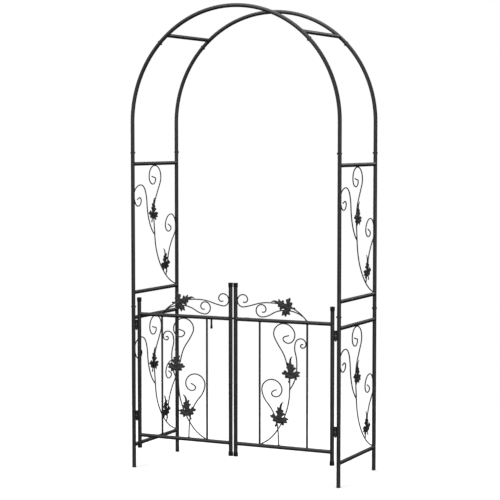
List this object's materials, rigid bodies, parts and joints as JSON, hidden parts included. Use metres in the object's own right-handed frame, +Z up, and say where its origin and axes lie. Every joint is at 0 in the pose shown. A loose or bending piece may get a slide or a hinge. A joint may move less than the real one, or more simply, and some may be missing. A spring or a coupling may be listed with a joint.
{
  "type": "metal trellis arch with gates",
  "caption": "Tubular steel garden arch with wire scroll side panels and a pair of low hinged gates held by a sliding latch bolt.",
  "frame": {"origin": "on the ground, at the middle of the arch's outer box in X and Y", "axes": "+Z up, +X across the walkway to the right seen from the front, +Y from the front, where the gates hang, to the back"},
  "size_m": [1.0524, 0.443, 2.128],
  "materials": {
    "frame_paint": "satin black powder coat",
    "cast_leaf": "satin black paint on cast leaves",
    "hinge_metal": "satin black powder coat, rubbed at the pins",
    "latch_metal": "satin black powder coat",
    "fastener": "black oxide",
    "cap_plastic": "fine matte black"
  },
  "bodies": {
    "arch": {"arch_crown_back": "frame_paint", "arch_crown_front": "frame_paint", "arch_side_left_back": "frame_paint", "arch_side_left_front": "frame_paint", "arch_side_right_back": "frame_paint", "arch_side_right_front": "frame_paint", "foot_plugs": "cap_plastic", "hinge_post_knuckles": "hinge_metal", "joint_bolts": "fastener", "joint_nuts": "fastener", "lower_panel_bottom_rung_left": "frame_paint", "lower_panel_bottom_rung_right": "frame_paint", "lower_panel_scroll_left": "frame_paint", "lower_panel_scroll_right": "frame_paint", "lower_panel_top_rung_left": "frame_paint", "lower_panel_top_rung_right": "frame_paint", "lower_post_left_back": "frame_paint", "lower_post_left_front": "frame_paint", "lower_post_right_back": "frame_paint", "lower_post_right_front": "frame_paint", "panel_leaves_left": "cast_leaf", "panel_leaves_right": "cast_leaf", "purlin_left": "frame_paint", "purlin_right": "frame_paint", "upper_panel_bottom_rung_left": "frame_paint", "upper_panel_bottom_rung_right": "frame_paint", "upper_panel_scroll_left": "frame_paint", "upper_panel_scroll_right": "frame_paint", "upper_panel_top_rung_left": "frame_paint", "upper_panel_top_rung_right": "frame_paint", "upper_post_left_back": "frame_paint", "upper_post_left_front": "frame_paint", "upper_post_right_back": "frame_paint", "upper_post_right_front": "frame_paint"},
    "left_gate": {"gate_bottom_rail_left": "frame_paint", "gate_caps_left": "cap_plastic", "gate_crest_left": "frame_paint", "gate_hinge_stile_left": "frame_paint", "gate_leaves_left": "cast_leaf", "gate_meeting_stile_left": "frame_paint", "gate_pickets_left": "frame_paint", "gate_scroll_left": "frame_paint", "gate_top_rail_left": "frame_paint", "hinge_pins_left": "hinge_metal", "hinge_turning_knuckles_left": "hinge_metal", "latch_guides": "latch_metal"},
    "right_gate": {"gate_bottom_rail_right": "frame_paint", "gate_caps_right": "cap_plastic", "gate_crest_right": "frame_paint", "gate_hinge_stile_right": "frame_paint", "gate_leaves_right": "cast_leaf", "gate_meeting_stile_right": "frame_paint", "gate_pickets_right": "frame_paint", "gate_scroll_right": "frame_paint", "gate_top_rail_right": "frame_paint", "hinge_pins_right": "hinge_metal", "hinge_turning_knuckles_right": "hinge_metal", "latch_keeper": "latch_metal"},
    "latch": {"latch_bolt": "latch_metal", "latch_caps": "cap_plastic"}
  },
  "joints": [
    {"name": "left_gate_hinge", "type": "hinge", "parent": "arch", "child": "left_gate", "pos_m": [-0.4995, -0.2105, 0.458], "axis": [0, 0, 1], "range_deg": [0, 74]},
    {"name": "right_gate_hinge", "type": "hinge", "parent": "arch", "child": "right_gate", "pos_m": [0.4995, -0.2105, 0.458], "axis": [0, 0, 1], "range_deg": [0, 90]},
    {"name": "latch_slide", "type": "slide", "parent": "left_gate", "child": "latch", "axis": [-1, 0, 0], "range_m": [0, 0.12]}
  ]
}
